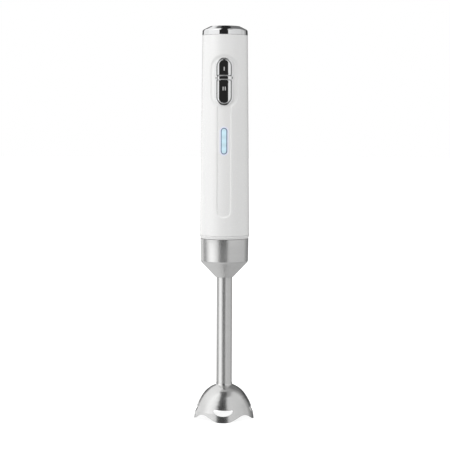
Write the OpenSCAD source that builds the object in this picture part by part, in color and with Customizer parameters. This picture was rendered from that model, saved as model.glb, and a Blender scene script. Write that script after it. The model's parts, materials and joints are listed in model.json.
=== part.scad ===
// Cordless immersion blender: a white motor handle and a pull-off steel wand with a guarded blade.
// Millimetres. The drive axis is Z, the guard rim stands on z = 0 and the buttons face -Y.

/* [Overall] */
// Height from the guard rim to the top of the cap
total_h = 410; // [408:0.5:413]

/* [Handle] */
// Height of the underside of the handle's bottom ring
ring_z = 190.2; // [190.1:0.1:190.3]
// Outer radius of the handle at its lower end
handle_base_r = 25.9; // [25.85:0.05:26.2]
// Outer radius of the handle at its upper end
handle_top_r = 23.55; // [23.5:0.05:23.9]
// Wall thickness of the two housing shells
shell_wall = 2.2; // [2:0.05:2.3]
// Height of the chrome cap above the housing seam
cap_h = 9.5; // [9:0.1:10]

/* [Controls] */
// Height of the middle of the button bezel
bezel_z = 352.4; // [352:0.1:352.8]
// Width of the chrome bezel round the buttons
bezel_w = 19.1; // [18.8:0.1:19.3]
// Height of the chrome bezel round the buttons
bezel_h = 48.8; // [48.5:0.1:49.2]
// Width of the shallow dish that holds the bezel
dish_w = 29.8; // [29:0.1:30.4]
// Height of the shallow dish that holds the bezel
dish_h = 56; // [55.5:0.5:57]
// Width of the long channel below the buttons
channel_w = 15.8; // [15:0.1:16.4]
// Height of the channel's rounded lower end
channel_end_z = 212; // [210:0.5:214]
// Travel of each speed button
button_travel = 1.5; // [1:0.1:1.5]

/* [Wand] */
// Outer diameter of the steel wand tube
tube_d = 16.3; // [16.2:0.02:16.34]
// Height at which the coupling shell's cone meets the tube
cone_z = 148.8; // [148:0.1:149.6]
// Height at which the coupling shell's cone starts
shoulder_z = 166; // [165.5:0.1:166.5]
// Wall thickness of the blade guard and the coupling shell
steel_t = 0.9; // [0.8:0.05:1]
// Height of the waves cut into the guard rim
wave_h = 6.6; // [6:0.1:7]
// Height of the middle of the indicator lens
lens_z = 291.6; // [291:0.1:292]

/* [Hidden] */
$fn = 96;

far = 60; // longer than any cut has to reach

// --- Heights of the handle ---
ring_h = 3.2;
shell_z0 = ring_z + ring_h + 0.1;
shell_z1 = total_h - cap_h;
handle_taper = (handle_top_r - handle_base_r) / (shell_z1 - shell_z0);
function handle_r(z) = handle_base_r + handle_taper * (z - shell_z0);

// --- Controls ---
dish_depth = 0.9;
channel_depth = 0.8;
channel_top_z = bezel_z - dish_h / 2 + channel_w;
bezel_skirt_w = bezel_w - 1.8;
bezel_skirt_h = bezel_h - 1.8;
bezel_back_y = -19.6;
window_w = bezel_w - 4.6;
window_h = bezel_skirt_h - 1.5;
bar_z0 = bezel_z + 1.8; // the bezel's cross bar between the buttons
bar_z1 = bezel_z + 5.8;
button_proud = 0.5;
button_gap = 0.3;
flange_lap = 0.8; // how far a button's flange reaches behind the bezel
flange_t = 1.2;
speed_1_z = (bezel_z + window_h / 2 + bar_z1) / 2;
speed_2_z = (bezel_z - window_h / 2 + bar_z0) / 2;
lens_w = 6.4;
lens_h = 27;
lens_proud = 0.25; // above the channel's floor

// --- Electronics ---
board_y = -12.5; // front face of the board
board_t = 1.6;
board_w = 24;
board_z0 = 280;
board_z1 = 376;
post_x = 9.5;
post_z = [286, 372];
plate_y = -4.6; // front face of the chassis plate
plate_t = 2;
plate_z0 = 283;
plate_z1 = 374;
cell_r = 9.2;
cell_h = 65.2;
cell_x = 9.35;
cell_y = 7;
cell_z = 286.2;
jack_z = 383;
jack_r = 4;
plug_r = 2.85; // bore for a plug of 5.5 mm

// --- Motor and coupling ---
shaft_r = 2.5;
press = 0.02; // gap of a part pressed on its shaft
running = 0.03; // gap of a shaft in its bush
bush_r = 4.5;
motor_r = 17.9;
motor_z0 = 222;
motor_z1 = 268;
can_t = 1.5;
motor_bush_r = 5;
screw_x = 12.5; // motor screws
deck_z0 = 212;
deck_z1 = 215;
socket_r = 17.2; // bore that takes the wand's neck
latch_z = 198;
latch_r = 17.05; // centre line of the latch ring
latch_mouth = 11; // half the angle that the latch ring leaves open
wire_r = 0.6; // latch wire
groove_depth = 0.8; // of the neck's groove, which the wire stands in
latch_gap = 0.25; // above and below the wire
release_z = 200;
release_w = 13;
release_h = 10.4;
release_travel = 2.5;
ring_screw_r = 20.9;

// --- Wand ---
neck_r = 17;
neck_top_z = 201.3;
shell_top_z = ring_z - 0.3;
tube_r = tube_d / 2;
tube_bore_r = tube_r - 0.8;
coupling_top_r = 25.1;
coupling_low_r = 24.7;

// --- Blade guard: a dome arc that runs into a wide flare arc ---
dome_r = 27.25;
dome_z = 9.4;
flare_r = 50;
join_a = 36; // angle of the normal where the two arcs meet
neck_a = 70.5; // angle of the normal where the dome meets the tube's fillet
flare_x = (dome_r - flare_r) * cos(join_a);
flare_z = dome_z + (dome_r - flare_r) * sin(join_a);
function rim_a(inset) = asin(-flare_z / (flare_r - inset)); // where the flare meets z = 0
slot_w = 20;
slot_top_z = 13;
slot_depth = 6.5;

// ------------------------------------------------------------------ helpers

module revolve(points) rotate_extrude() polygon(points);

module tube(outer, inner, z0, z1) translate([0, 0, z0]) difference() {
    cylinder(h = z1 - z0, r = outer);
    translate([0, 0, -1]) cylinder(h = z1 - z0 + 2, r = inner);
}

module rod(r, z0, z1) translate([0, 0, z0]) cylinder(h = z1 - z0, r = r);

module ring_wire(r, wire, z) translate([0, 0, z]) rotate_extrude()
    translate([r, 0]) circle(r = wire, $fn = 32);

// Draws its 2D children in the XZ plane and gives them depth from y0 to y1
module facing_y(y0, y1) translate([0, y1, 0]) rotate([90, 0, 0]) linear_extrude(y1 - y0) children();

module racetrack(w, h, z) {
    end = h / 2 - w / 2;
    for (side = [-1, 1]) translate([0, z + side * end]) circle(d = w, $fn = 64);
    translate([-w / 2, z - end]) square([w, 2 * end]);
}

module box_between(low, high) translate(low) cube(high - low);

// The handle's outer cone, moved inwards by inset
module handle_cone(inset, z0, z1) translate([0, 0, z0])
    cylinder(h = z1 - z0, r1 = handle_r(z0) - inset, r2 = handle_r(z1) - inset, $fn = 128);

// What lies outside the handle's cone once it is moved inwards by inset, within the children's outline
module outside_cone(inset) difference() {
    facing_y(-30, -10) children();
    handle_cone(inset, shell_z0 - 5, shell_z1 + 5);
}

module inside_cone(inset, y1) intersection() {
    facing_y(-30, y1) children();
    handle_cone(inset, shell_z0 - 5, shell_z1 + 5);
}

function unit(v) = v / norm(v);

// A round wire swept along a route, with a ring of sides at every point
module wire(route, r, sides = 8) {
    n = len(route);
    points = [for (i = [0 : n - 1])
        let (along = unit(route[min(i + 1, n - 1)] - route[max(i - 1, 0)]),
             across = unit(cross(along, [0.31, 0.17, 0.93] - along * 0.2)),
             up = cross(along, across))
        for (k = [0 : sides - 1]) route[i] + r * (across * cos(360 * k / sides) + up * sin(360 * k / sides))];
    walls = [for (i = [0 : n - 2]) for (k = [0 : sides - 1])
        let (a = i * sides + k, b = i * sides + (k + 1) % sides)
        for (face = [[a, b, b + sides], [a, b + sides, a + sides]]) face];
    start = [[for (k = [sides - 1 : -1 : 0]) k]];
    finish = [[for (k = [0 : sides - 1]) (n - 1) * sides + k]];
    polyhedron(points, concat(walls, start, finish));
}

// A smooth route through a few hand-placed points (Catmull-Rom)
function between(a, b, c, d, t) = 0.5 * (2 * b + (c - a) * t + (2 * a - 5 * b + 4 * c - d) * t * t
    + (3 * b - a - 3 * c + d) * t * t * t);
function smooth(p, steps = 4) = let (n = len(p)) concat(
    [for (i = [0 : n - 2]) for (s = [0 : steps - 1])
        between(p[max(i - 1, 0)], p[i], p[i + 1], p[min(i + 2, n - 1)], s / steps)], [p[n - 1]]);
function mirrored(p) = [for (q = p) [-q[0], q[1], q[2]]];

// ------------------------------------------------------------------ housing

module shell_body() difference() {
    handle_cone(0, shell_z0, shell_z1);
    handle_cone(shell_wall, shell_z0 - 1, shell_z1 + 1);
}

parting = 0.04; // half the gap between the two shells

module front_housing() color("white") difference() {
    intersection() {
        shell_body();
        box_between([-far, -far, 0], [far, -parting, total_h]);
    }
    outside_cone(dish_depth) racetrack(dish_w, dish_h, bezel_z);
    outside_cone(channel_depth)
        racetrack(channel_w, channel_top_z - channel_end_z, (channel_top_z + channel_end_z) / 2);
    facing_y(-30, -10) racetrack(bezel_skirt_w + 0.2, bezel_skirt_h + 0.2, bezel_z);
    facing_y(-30, -10) racetrack(lens_w + 0.2, lens_h + 0.2, lens_z);
}

module rear_housing() color("white") difference() {
    intersection() {
        shell_body();
        box_between([-far, parting, 0], [far, far, total_h]);
    }
    box_between([-release_w / 2 - button_gap, 10, release_z - release_h / 2 - button_gap],
        [release_w / 2 + button_gap, 30, release_z + release_h / 2 + button_gap]);
    translate([0, 0, jack_z]) rotate([-90, 0, 0]) cylinder(h = 30, r = jack_r + 0.05);
}

skirt_r = handle_top_r - shell_wall - 0.2;
skirt_t = 1.7;
gasket_r = skirt_r - 0.35;
module top_cap() color("silver") difference() {
    revolve([
        [0, total_h], [15.4, total_h], [16.3, total_h - 0.5], [handle_top_r - 0.95, total_h - 3.6],
        [handle_top_r - 0.2, total_h - 4.8], [handle_top_r, shell_z1 + 0.15], [skirt_r, shell_z1 + 0.15],
        [skirt_r, shell_z1 - 7], [skirt_r - skirt_t, shell_z1 - 7], [skirt_r - skirt_t, shell_z1 + 1.6],
        [14.6, total_h - 3], [0, total_h - 2.2],
    ]);
    tube(skirt_r + 1, gasket_r - 0.55, shell_z1 - 4.4, shell_z1 - 2.6);
}

module cap_gasket() color("dimgray") ring_wire(gasket_r, 0.5, shell_z1 - 3.5);

module bottom_ring() color("white") difference() {
    revolve([
        [17.4, ring_z], [24.8, ring_z], [25.15, ring_z + 0.35], [25.2, ring_z + 1.7],
        [handle_base_r - 0.05, ring_z + 2], [handle_base_r, ring_z + ring_h], [17.4, ring_z + ring_h],
    ]);
    for (a = [30 : 120 : 270]) rotate([0, 0, a]) translate([ring_screw_r, 0, 0]) {
        rod(1.3, ring_z - 1, ring_z + ring_h + 1);
        rod(2.3, ring_z - 1, ring_z + 1.9);
    }
}

module ring_screws() color("gray") for (a = [30 : 120 : 270])
    rotate([0, 0, a]) translate([ring_screw_r, 0, 0]) difference() {
        union() {
            rod(2.2, ring_z + 0.1, ring_z + 1.85);
            rod(1.2, ring_z + 1.85, ring_z + 11);
        }
        for (turn = [0, 90]) rotate([0, 0, turn])
            box_between([-1.4, -0.3, ring_z], [1.4, 0.3, ring_z + 0.9]);
    }

// ------------------------------------------------------------------ controls

module cross_bar(lap) translate([-far, bar_z0 - lap]) square([2 * far, bar_z1 - bar_z0 + 2 * lap]);

// Outline of one button's window, moved inwards by gap (a negative gap makes it larger)
module window(upper, gap) difference() {
    racetrack(window_w - 2 * gap, window_h - 2 * gap, bezel_z);
    cross_bar(gap);
    translate([-far, upper ? bar_z0 - far : bar_z0 + 1]) square([2 * far, far + 1]);
}

module button_bezel() color("silver") difference() {
    union() {
        intersection() {
            outside_cone(dish_depth - 0.03) racetrack(bezel_w, bezel_h, bezel_z);
            handle_cone(-0.1, shell_z0, shell_z1);
        }
        inside_cone(dish_depth - 0.06, bezel_back_y) racetrack(bezel_skirt_w, bezel_skirt_h, bezel_z);
    }
    facing_y(-30, -10) window(true, 0);
    facing_y(-30, -10) window(false, 0);
}

module speed_button(upper) {
    inside_cone(-button_proud, bezel_back_y + 0.05) window(upper, button_gap);
    facing_y(bezel_back_y + 0.1, bezel_back_y + 0.1 + flange_t) intersection() {
        window(upper, -flange_lap);
        racetrack(bezel_skirt_w - 0.3, bezel_skirt_h + far, bezel_z);
    }
    facing_y(bezel_back_y - 0.1, bezel_back_y + 0.2) window(upper, button_gap);
}

module speed_1_button() color("gainsboro") speed_button(true);

module speed_2_button() color("gainsboro") speed_button(false);

// A silicone dome that seals one switch and pushes its button back
boot_top_y = bezel_back_y + 0.1 + flange_t + 0.05;
boot_h = board_y - 0.05 - boot_top_y;
module boot(z) translate([0, board_y - 0.05, z]) rotate([90, 0, 0]) revolve([
    [5.6, 0], [6.4, 0], [5.2, boot_h - 0.5], [4.7, boot_h],
    [0, boot_h], [0, boot_h - 0.6], [4.5, boot_h - 0.7],
]);

module speed_1_boot() color("dimgray") boot(speed_1_z);

module speed_2_boot() color("dimgray") boot(speed_2_z);

module indicator_lens() color("lightskyblue") {
    intersection() {
        facing_y(-30, board_y - 2.1) racetrack(lens_w, lens_h, lens_z);
        handle_cone(channel_depth - lens_proud, shell_z0, shell_z1);
    }
    facing_y(-21.8, -20.8) racetrack(lens_w + 3, lens_h + 3, lens_z);
}

module indicator_leds() color("aqua") for (i = [-1 : 1 : 1])
    translate([0, 0, lens_z + 8.1 * i]) {
        box_between([-1.75, board_y - 1.2, -1.4], [1.75, board_y - 0.02, 1.4]);
        translate([0, board_y - 1.2, 0]) rotate([90, 0, 0]) cylinder(h = 0.5, r = 1.2, $fn = 32);
    }

plunger_y = boot_top_y + 0.2 + button_travel; // a pressed button pushes the plunger in by 0.4
module speed_switches() color("black") for (z = [speed_1_z, speed_2_z]) translate([0, 0, z]) {
    box_between([-3, board_y - 3.5, -3], [3, board_y - 0.02, 3]);
    facing_y(plunger_y, board_y - 3.4) circle(r = 1.7, $fn = 32);
}

// ------------------------------------------------------------------ electronics

module at_posts() for (x = [-post_x, post_x], z = post_z) translate([x, 0, z]) rotate([-90, 0, 0]) children();

module control_board() color("darkgreen") difference() {
    box_between([-board_w / 2, board_y, board_z0], [board_w / 2, board_y + board_t, board_z1]);
    at_posts() translate([0, 0, board_y - 1]) cylinder(h = 4, r = 1.1, $fn = 32);
}

module board_components() {
    back = board_y + board_t + 0.02;
    color("black") for (x = [-6, 0, 6]) box_between([x - 2.5, back, 292], [x + 2.5, back + 1.4, 297]);
    color("black") box_between([-5, back, 306], [5, back + 1.6, 316]);
    color("silver") for (x = [-5.5, 5.5]) translate([x, back, 326]) rotate([-90, 0, 0])
        cylinder(h = 5, r = 3.1, $fn = 32);
    color("tan") for (z = [336, 340, 344]) box_between([-3, back, z], [3, back + 1, z + 2]);
}

module board_screws() color("silver") at_posts() {
    translate([0, 0, board_y - 1.6]) cylinder(h = 1.55, r = 1.9, $fn = 32);
    translate([0, 0, board_y - 0.1]) cylinder(h = 6.2, r = 0.95, $fn = 32);
}

module chassis() color("dimgray") {
    difference() {
        union() {
            box_between([-18, plate_y, plate_z0], [18, plate_y + plate_t, plate_z1]);
            at_posts() translate([0, 0, board_y + board_t + 0.02])
                cylinder(h = plate_y - board_y - board_t + 0.5, r = 2.2, $fn = 32);
            for (z = [plate_z0, cell_z + cell_h + 0.7]) intersection() {
                rod(handle_r(z + 2.5) - shell_wall - 0.1, z, z + 2.5);
                box_between([-far, plate_y, z], [far, far, z + 3]);
            }
            for (side = [-1, 1]) translate([side * 15.5, 0, 0])
                box_between([-1.5, plate_y, 271.1], [1.5, 3, plate_z0 + 1]);
        }
        at_posts() translate([0, 0, board_y]) cylinder(h = 6.5, r = 1, $fn = 32);
        box_between([-12, -far, 357.5], [12, far, 367.5]);
        for (side = [-1, 1]) translate([side * cell_x, cell_y, 0])
            box_between([-3.2, -0.6, 350], [3.2, 0.6, 360]);
    }
}

module at_cells() for (side = [-1, 1]) translate([side * cell_x, cell_y, 0]) children();

module battery_cells() color("teal") at_cells() {
    rod(cell_r, cell_z, cell_z + cell_h - 1.2);
    rod(3.2, cell_z + cell_h - 1.3, cell_z + cell_h);
}

module cell_straps() color("silver") {
    top = cell_z + cell_h + 0.05;
    box_between([-15, cell_y - 3, cell_z - 0.45], [15, cell_y + 3, cell_z - 0.05]);
    for (side = [-1, 1]) translate([side * cell_x, cell_y, 0]) {
        box_between([-4, -4, top], [4, 4, top + 0.4]);
        box_between([-3, -0.2, top], [3, 0.2, 357]);
    }
}

battery_lead = [[cell_x, 6.15, 355.5], [cell_x, 5.8, 358.5], [9, 3, 361.5], [8, -2, 362.5], [7, -6.5, 362.5],
    [6, -9.6, 363.5], [6, -10.2, 366]];
motor_lead = [[6, -10.2, 284], [6.1, -9.9, 280.5], [7.4, -7.5, 277.5], [9, -4, 277], [9.95, 0, 277.5]];
jack_lead = [[1.6, 13.2, jack_z], [1.8, 10, jack_z], [2.2, 4, 382], [2.6, -3, 379.5], [3, -8.3, 376],
    [3, -10.2, 372.5], [3, -10.2, 370]];
lead_r = 0.6;

module leads(mirror_them) for (route = [battery_lead, motor_lead, jack_lead])
    wire(smooth(mirror_them ? mirrored(route) : route), lead_r);

module positive_leads() color("red") leads(false);

module negative_leads() color("black") leads(true);

module charge_jack() color("black") translate([0, 0, jack_z]) rotate([-90, 0, 0]) {
    difference() {
        union() {
            translate([0, 0, 13.3]) cylinder(h = 7.4, r = 5.4);
            translate([0, 0, 20.6]) cylinder(h = 2.6, r = jack_r);
        }
        translate([0, 0, 14.6]) cylinder(h = 12, r = plug_r);
    }
    translate([0, 0, 14.2]) cylinder(h = 8.5, r = 1, $fn = 32);
}

// ------------------------------------------------------------------ coupling

module coupling_socket() color("lightgray") difference() {
    union() {
        tube(23.55, socket_r, shell_z0 + 0.1, 196.4);
        tube(21, socket_r, 196, deck_z1);
        tube(20.9, 8, deck_z0, deck_z1);
        tube(17.4, 10, deck_z1 - 0.5, motor_z0 - 0.1);
        for (a = [30 : 120 : 270]) rotate([0, 0, a]) translate([ring_screw_r, 0, 0])
            rod(2.4, shell_z0 + 0.1, 203);
    }
    rod(socket_r, 190, deck_z0);
    rod(18.9, latch_z - wire_r - latch_gap, latch_z + wire_r + latch_gap);
    for (a = [30 : 120 : 270]) rotate([0, 0, a]) translate([ring_screw_r, 0, 0]) rod(1.25, 190, 202);
    for (side = [-1, 1]) translate([side * screw_x, 0, 0]) rod(1.6, 210, motor_z0);
    box_between([-8.8, 20.4 - release_travel, release_z - 7.2], [8.8, 25, release_z + 7.6]);
}

module socket_seal() color("black") tube(7.95, 5.6, deck_z0 + 0.1, deck_z1 - 0.1);

// Sprung wire ring that sits half in the neck's groove; the release button's wedge spreads its two ends
module latch_ring() color("silver") {
    translate([0, 0, latch_z]) rotate([0, 0, 90 + latch_mouth]) rotate_extrude(angle = 360 - 2 * latch_mouth)
        translate([latch_r, 0]) circle(r = wire_r, $fn = 32);
    for (side = [-1, 1])
        translate([side * latch_r * sin(latch_mouth), latch_r * cos(latch_mouth) - 0.05, latch_z])
            rotate([-90, 0, 0]) cylinder(h = 3.5, r = wire_r, $fn = 32);
}

release_z0 = release_z - release_h / 2;
release_z1 = release_z + release_h / 2;
module release_button() color("whitesmoke") {
    difference() {
        union() {
            intersection() {
                handle_cone(-0.8, shell_z0, release_z + 20);
                box_between([-release_w / 2, 21, release_z0], [release_w / 2, 30, release_z1]);
            }
            intersection() {
                handle_cone(shell_wall + 0.25, shell_z0, release_z + 20);
                box_between([-8, 20.6, release_z0 - 0.9], [8, 30, release_z1 + 1.2]);
            }
        }
        box_between([-6.3, 20, latch_z - 1.2], [6.3, 23.2, latch_z + 1.2]);
    }
    translate([0, 0, latch_z - 0.7]) linear_extrude(1.4)
        polygon([[-1.5, 18.95], [1.5, 18.95], [4.6, 23.4], [-4.6, 23.4]]);
}

module release_springs() color("silver") for (side = [-1, 1]) translate([side * 6, 18.1, release_z + 4.6])
    rotate([-90, 0, 0]) spring(1.3, 0.2, 2.3, 3);

// A compression spring along +Z from the origin
module spring(r, wire_radius, h, turns) {
    steps = 10;
    wire([for (i = [0 : turns * steps]) [
        r * cos(360 * i / steps),
        r * sin(360 * i / steps),
        wire_radius + (h - 2 * wire_radius) * i / (turns * steps)
    ]], wire_radius, 6);
}

// ------------------------------------------------------------------ motor

module motor_can() color("silver") difference() {
    union() {
        rod(motor_r, motor_z0, motor_z1);
        rod(6.6, motor_z0 - 3, motor_z0 + 1);
    }
    rod(motor_r - can_t, motor_z0 + can_t, motor_z1 + 1);
    rod(motor_bush_r + press, motor_z0 - 4, motor_z0 + 3);
    for (side = [-1, 1]) translate([side * screw_x, 0, 0]) rod(1.6, motor_z0 - 1, motor_z0 + 3);
}

module motor_sleeve() color("dimgray") tube(handle_r(256) - shell_wall - 0.05, motor_r + 0.1, 240, 256);

module motor_magnets() color("dimgray") for (side = [0, 180]) rotate([0, 0, side + 28])
    translate([0, 0, 229]) rotate_extrude(angle = 124) translate([13.4, 0]) square([2.9, 33]);

module motor_end_cap() color("black") difference() {
    union() {
        rod(motor_r - 0.05, motor_z1 + 0.1, 271);
        rod(8, 270, 275.2);
        for (side = [-1, 1]) scale([side, 1, 1]) box_between([6.2, -3.2, 263.4], [12, 3.2, 269]);
    }
    rod(3.2, motor_z1 - 1, 272);
    rod(motor_bush_r + press, 270, 274.2);
    for (side = [-1, 1]) scale([side, 1, 1]) box_between([4, -2.05, 263.9], [11, 2.05, 267.5]);
}

module motor_bushes() color("goldenrod") {
    tube(motor_bush_r, shaft_r + running, motor_z0 - 2.8, motor_z0 + 2.4);
    tube(motor_bush_r, shaft_r + running, 270.1, 274.1);
}

module motor_brushes() color("black") for (side = [-1, 1]) scale([side, 1, 1]) {
    box_between([4.8, -2, 263.95], [10.9, 2, 267.45]);
    box_between([10.6, -2.4, 271.05], [11.4, 2.4, 279]);
}

module motor_screws() color("gray") for (side = [-1, 1]) translate([side * screw_x, 0, 0]) difference() {
    union() {
        rod(2.7, deck_z0 - 2.55, deck_z0 - 0.05);
        rod(1.5, deck_z0 - 0.1, motor_z0 + 2.7);
    }
    for (turn = [0, 90]) rotate([0, 0, turn])
        box_between([-1.7, -0.35, deck_z0 - 3], [1.7, 0.35, deck_z0 - 1.5]);
}

module motor_shaft() color("silver") rod(shaft_r, 209.8, 273.4);

slots = 5;
module rotor_core() color("gray") difference() {
    rod(12.9, 231, 259);
    rod(shaft_r + press, 230, 260);
    for (i = [0 : slots - 1]) rotate([0, 0, 360 * i / slots]) {
        translate([8.3, 0, 0]) rod(2.6, 230, 260);
        box_between([8.3, -0.9, 230], [14, 0.9, 260]);
    }
}

module rotor_windings() color("orangered") {
    tube(11.2, 4.4, 226.6, 230.9);
    tube(11.2, 4.8, 259.1, 263);
    for (i = [0 : slots - 1]) rotate([0, 0, 360 * i / slots]) translate([8.3, 0, 0]) rod(2.4, 230, 260);
}

module commutator() color("goldenrod") difference() {
    tube(4.6, shaft_r + press, 263.2, 267.8);
    for (i = [0 : slots - 1]) rotate([0, 0, 360 * i / slots]) box_between([4, -0.2, 264], [6, 0.2, 268]);
}

// The six-armed dog that couples motor and wand
dog_z0 = 203;
dog_z1 = 209;
module dog(gap, z0, z1) {
    rod(4 + gap, z0, z1);
    for (a = [0, 60, 120]) rotate([0, 0, a])
        box_between([-6 - gap, -1.3 - gap, z0], [6 + gap, 1.3 + gap, z1]);
}

module drive_coupler() color("dimgray") difference() {
    union() {
        rod(8.4, dog_z0, 211.3);
        rod(5.4, 211, 218.4);
    }
    dog(0.35, dog_z0 - 1, dog_z1 + 0.4);
    rod(shaft_r + press, 208, 219);
}

// ------------------------------------------------------------------ wand

module coupling_shell() color("silver") revolve([
    [tube_r + 0.1, cone_z + 0.3], [9.4, cone_z + 0.6], [10.3, cone_z + 1.6],
    [coupling_low_r - 0.6, shoulder_z - 1], [coupling_low_r, shoulder_z + 0.6], [coupling_top_r, shell_top_z],
    [coupling_top_r - steel_t, shell_top_z], [coupling_low_r - steel_t, shoulder_z + 1],
    [coupling_low_r - steel_t - 0.5, shoulder_z - 0.3], [9.5, cone_z + 2.8], [tube_r + 0.1, cone_z + 1.7],
]);

module coupler_insert() color("dimgray") difference() {
    revolve([
        [3.2, 140], [tube_bore_r - 0.05, 140], [tube_bore_r - 0.05, 159], [10, 159], [10, 182], [23.9, 184.5],
        [23.9, shell_top_z], [neck_r, shell_top_z], [neck_r, neck_top_z - 0.7], [neck_r - 0.7, neck_top_z],
        [13.6, neck_top_z], [13.6, 190.5], [7.6, 190.5], [7.6, neck_top_z], [bush_r + press, neck_top_z],
        [bush_r + press, 192.9], [3.2, 192.9],
    ]);
    tube(18, neck_r - groove_depth, latch_z - wire_r - latch_gap, latch_z + wire_r + latch_gap);
    tube(18, 15.2, 194, 196.4);
}

module neck_seal() color("black") ring_wire(16.2, 0.88, 195.2);

module upper_bush() color("goldenrod") tube(bush_r, shaft_r + running, 193, neck_top_z - 0.1);

module wand_tube() color("silver") tube(tube_r, tube_bore_r, 36.6, 158.5);

module shaft_guide() color("ivory") tube(tube_bore_r - 0.05, shaft_r + 0.3, 92, 102);

// The dome's point at the angle a of its normal, for a surface moved inwards by inset
function dome_point(a, inset) = [(dome_r - inset) * cos(a), dome_z + (dome_r - inset) * sin(a)];
function flare_point(a, inset) = [flare_x + (flare_r - inset) * cos(a), flare_z + (flare_r - inset) * sin(a)];
function guard_wall(inset) = concat(
    [for (i = [0 : 10]) dome_point(neck_a + (join_a - neck_a) * i / 10, inset)],
    [for (i = [1 : 6]) flare_point(join_a + (rim_a(inset) - join_a) * i / 6, inset)]);
function reversed(p) = [for (i = [len(p) - 1 : -1 : 0]) p[i]];

// One wave of the rim, cut away between two lobes: u runs along the rim
module wave_2d() {
    half = 20.5;
    polygon(concat([[half, -1], [-half, -1]],
        [for (u = [-half : half / 8 : half]) [u, wave_h * (0.5 + 0.5 * cos(180 * u / half))]]));
}

// A slot with a straight top and a bowed bottom
module slot_2d() {
    half = slot_w / 2;
    polygon(concat([[half - 0.6, slot_top_z], [0.6 - half, slot_top_z]],
        [for (i = [0 : 14]) let (a = 180 + 180 * i / 14)
            [half * cos(a), slot_top_z - 1.2 + (slot_depth - 1.2) * sin(a)]]));
}

module blade_guard() color("silver") difference() {
    rotate_extrude() polygon(concat(
        [[tube_r + 0.08, 37], [tube_r + 0.3, 37], [tube_r + 0.4, 35.9], [tube_r + 0.6, 35.4]],
        guard_wall(0), reversed(guard_wall(steel_t)), [[tube_r + 0.08, 33.4]]));
    for (a = [45, 135]) rotate([0, 0, a]) facing_y(-far, far) wave_2d();
    for (a = [0, 90]) rotate([0, 0, a]) facing_y(-far, far) slot_2d();
}

module bearing_carrier() color("dimgray") revolve([
    [6.6, 24], [9.6, 24], [10.9, 25.4], [10.9, 31.2], [tube_r - 0.1, 32.4], [tube_r - 0.1, 36.5],
    [tube_bore_r - 0.05, 36.5], [tube_bore_r - 0.05, 58], [3.2, 58], [3.2, 46], [4.8, 46], [4.8, 42],
    [bush_r + press, 42], [bush_r + press, 28.9], [3.2, 28.9], [3.2, 28], [6.6, 28],
]);

module lower_bush() color("goldenrod") tube(bush_r, shaft_r + running, 29, 41.9);

module shaft_seal() color("black") revolve([
    [shaft_r + 0.15, 25.4], [3.6, 24.2], [6.5, 24.2], [6.5, 27.9], [3.4, 27.9], [shaft_r + 0.15, 26.4],
]);

stub_r = 2; // the shaft's stepped lower end, which carries the blade
module drive_shaft() color("silver") difference() {
    union() {
        rod(shaft_r, 21.6, 207);
        rod(stub_r, 9.9, 22);
    }
    tube(3, shaft_r - 0.3, 42.2, 43);
}

module driven_coupler() color("black") difference() {
    union() {
        rod(6.2, neck_top_z + 0.2, dog_z0 - 0.2);
        dog(0, dog_z0 - 0.4, dog_z1);
    }
    rod(shaft_r + press, 200, 207.1);
}

module retaining_ring() color("gray") difference() {
    tube(4.1, shaft_r - 0.28, 42.25, 42.95);
    box_between([0, -1.2, 42], [6, 1.2, 43.5]);
}

module blade_hub() color("silver") difference() {
    revolve([[stub_r + press, 14.6], [5.2, 14.6], [5.2, 17], [3.8, 21.5], [stub_r + press, 21.5]]);
    rod(stub_r + press, 14, 22);
}

blade_tip = 22;
blade_t = 1.5;
module blade() color("silver") difference() {
    intersection() {
        facing_y(-8, 8) {
            polygon([[-5.8, 13], [5.8, 13], [5.8, 13 + blade_t], [-5.8, 13 + blade_t]]);
            polygon([[5.4, 13], [5.8, 13], [blade_tip, 17.2], [blade_tip, 17.2 + blade_t],
                [5.4, 13 + blade_t]]);
            polygon([[-5.4, 13], [-5.4, 13 + blade_t], [-5.8, 13 + blade_t], [-blade_tip, 10.9 + blade_t],
                [-blade_tip, 10.9]]);
        }
        linear_extrude(30) {
            circle(r = 5.6);
            for (a = [0, 180]) rotate(a) polygon([[0, -5], [8, -4.8], [16, -3.2], [blade_tip, 0.4],
                [21.4, 3.4], [17, 4.4], [9, 4.6], [0, 5]]);
        }
    }
    rod(stub_r + press, 10, 16);
}

module blade_washer() color("silver") tube(3.8, stub_r + press, 12.35, 12.95);

module blade_nut() color("silver") difference() {
    union() {
        translate([0, 0, 9.6]) cylinder(h = 2.7, r = 4, $fn = 6);
        rod(3, 9.2, 10);
    }
    rod(stub_r + press, 9.8, 13);
}

// ------------------------------------------------------------------ assembly

front_housing();
rear_housing();
top_cap();
cap_gasket();
bottom_ring();
ring_screws();
button_bezel();
speed_1_button();
speed_2_button();
speed_1_boot();
speed_2_boot();
indicator_lens();
indicator_leds();
speed_switches();
control_board();
board_components();
board_screws();
chassis();
battery_cells();
cell_straps();
positive_leads();
negative_leads();
charge_jack();
coupling_socket();
socket_seal();
latch_ring();
release_button();
release_springs();
motor_can();
motor_sleeve();
motor_magnets();
motor_end_cap();
motor_bushes();
motor_brushes();
motor_screws();
motor_shaft();
rotor_core();
rotor_windings();
commutator();
drive_coupler();
coupling_shell();
coupler_insert();
neck_seal();
upper_bush();
wand_tube();
shaft_guide();
bearing_carrier();
lower_bush();
shaft_seal();
blade_guard();
drive_shaft();
driven_coupler();
retaining_ring();
blade_hub();
blade();
blade_washer();
blade_nut();
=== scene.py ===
"""Looks of a cordless immersion blender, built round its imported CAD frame.

Lengths in this file are millimetres; MM turns them into Blender's metres. The stage's sizes are in metres.
The frame's Z is the drive axis and the speed buttons face -Y.
"""
import json
import math
import bmesh
import bpy
from mathutils import Matrix, Vector


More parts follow.
